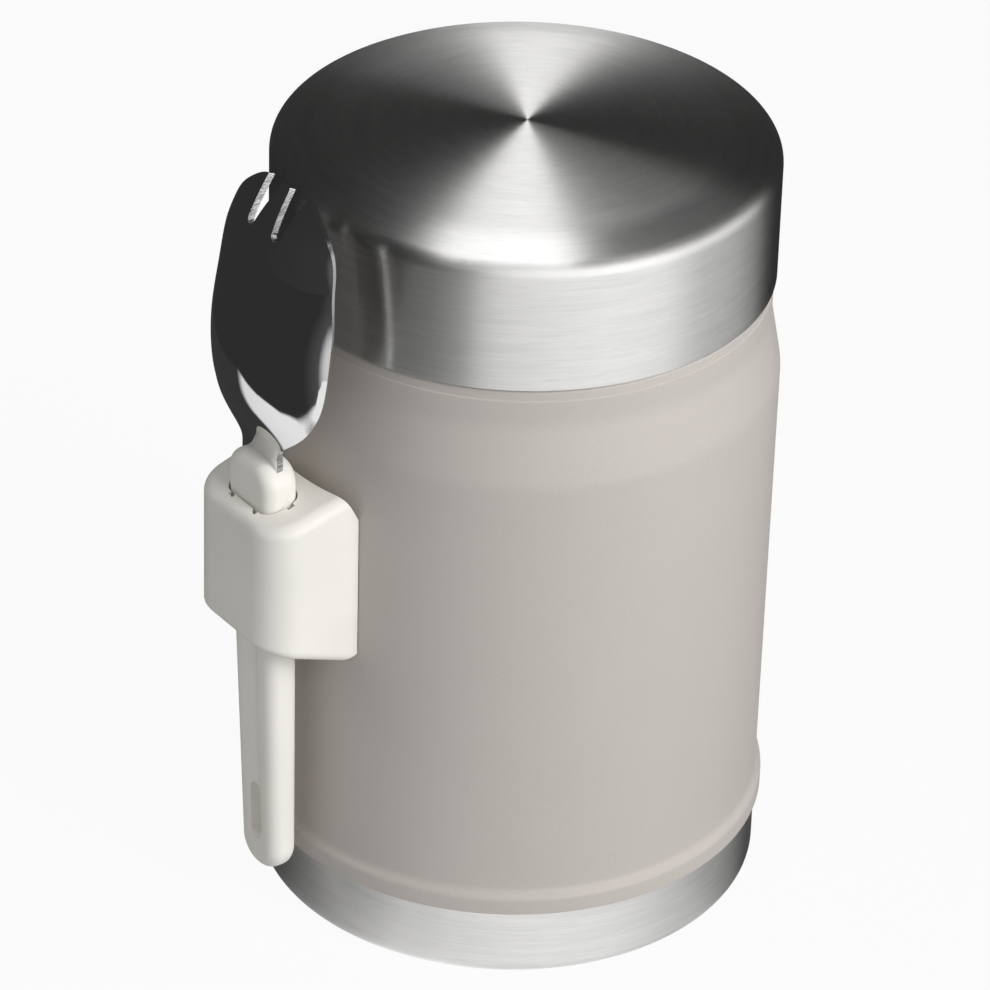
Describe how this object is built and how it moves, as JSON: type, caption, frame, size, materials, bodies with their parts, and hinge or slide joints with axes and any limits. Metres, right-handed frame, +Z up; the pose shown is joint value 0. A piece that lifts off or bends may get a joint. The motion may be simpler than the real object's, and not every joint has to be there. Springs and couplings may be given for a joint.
{
  "type": "insulated food jar",
  "caption": "Vacuum-insulated food jar with a brushed steel screw-on cup lid, an inner stopper, and a spork carried in a moulded holder on its side.",
  "frame": {"origin": "on the jar's axis, in the plane of the base face it stands on", "axes": "+Z up along the jar's axis; the spork holder faces -Y; +X to the right as seen from the holder's side"},
  "size_m": [0.0912, 0.1056, 0.1486],
  "materials": {
    "painted_steel": "fine-textured matt powder coat",
    "brushed_steel": "circular brushed",
    "inner_steel": "electropolished satin",
    "plain_steel": "mill finish",
    "polished_steel": "mirror polished",
    "cream_plastic": "fine matt moulding",
    "grey_plastic": "fine matt moulding",
    "silicone": "smooth",
    "foam": "closed-cell foam",
    "copper_foil": "bright rolled foil",
    "getter_alloy": "sintered",
    "braze": "cast"
  },
  "bodies": {
    "jar": {"outer_shell": "painted_steel", "inner_vessel": "inner_steel", "shell_closure": "plain_steel", "base_cup": "brushed_steel", "heat_foil": "copper_foil", "getter": "getter_alloy", "getter_clip": "plain_steel", "vacuum_seal": "braze", "holder_bracket": "plain_steel", "spork_holder": "cream_plastic"},
    "stopper": {"stopper_body": "grey_plastic", "stopper_gasket": "silicone", "stopper_cover": "grey_plastic", "stopper_insulation": "foam"},
    "lid": {"lid_shell": "brushed_steel", "lid_insulation": "foam", "lid_liner": "grey_plastic"},
    "spork": {"spork_head": "polished_steel", "spork_handle": "cream_plastic"}
  },
  "joints": [
    {"name": "stopper_lift", "type": "slide", "parent": "jar", "child": "stopper", "axis": [0, 0, 1], "range_m": [0, 0.045]},
    {"name": "lid_lift", "type": "slide", "parent": "stopper", "child": "lid", "axis": [0, 0, 1], "range_m": [0, 0.05]},
    {"name": "spork_slide", "type": "slide", "parent": "jar", "child": "spork", "axis": [0, -0.0229, 0.9997], "range_m": [0, 0.085]}
  ]
}
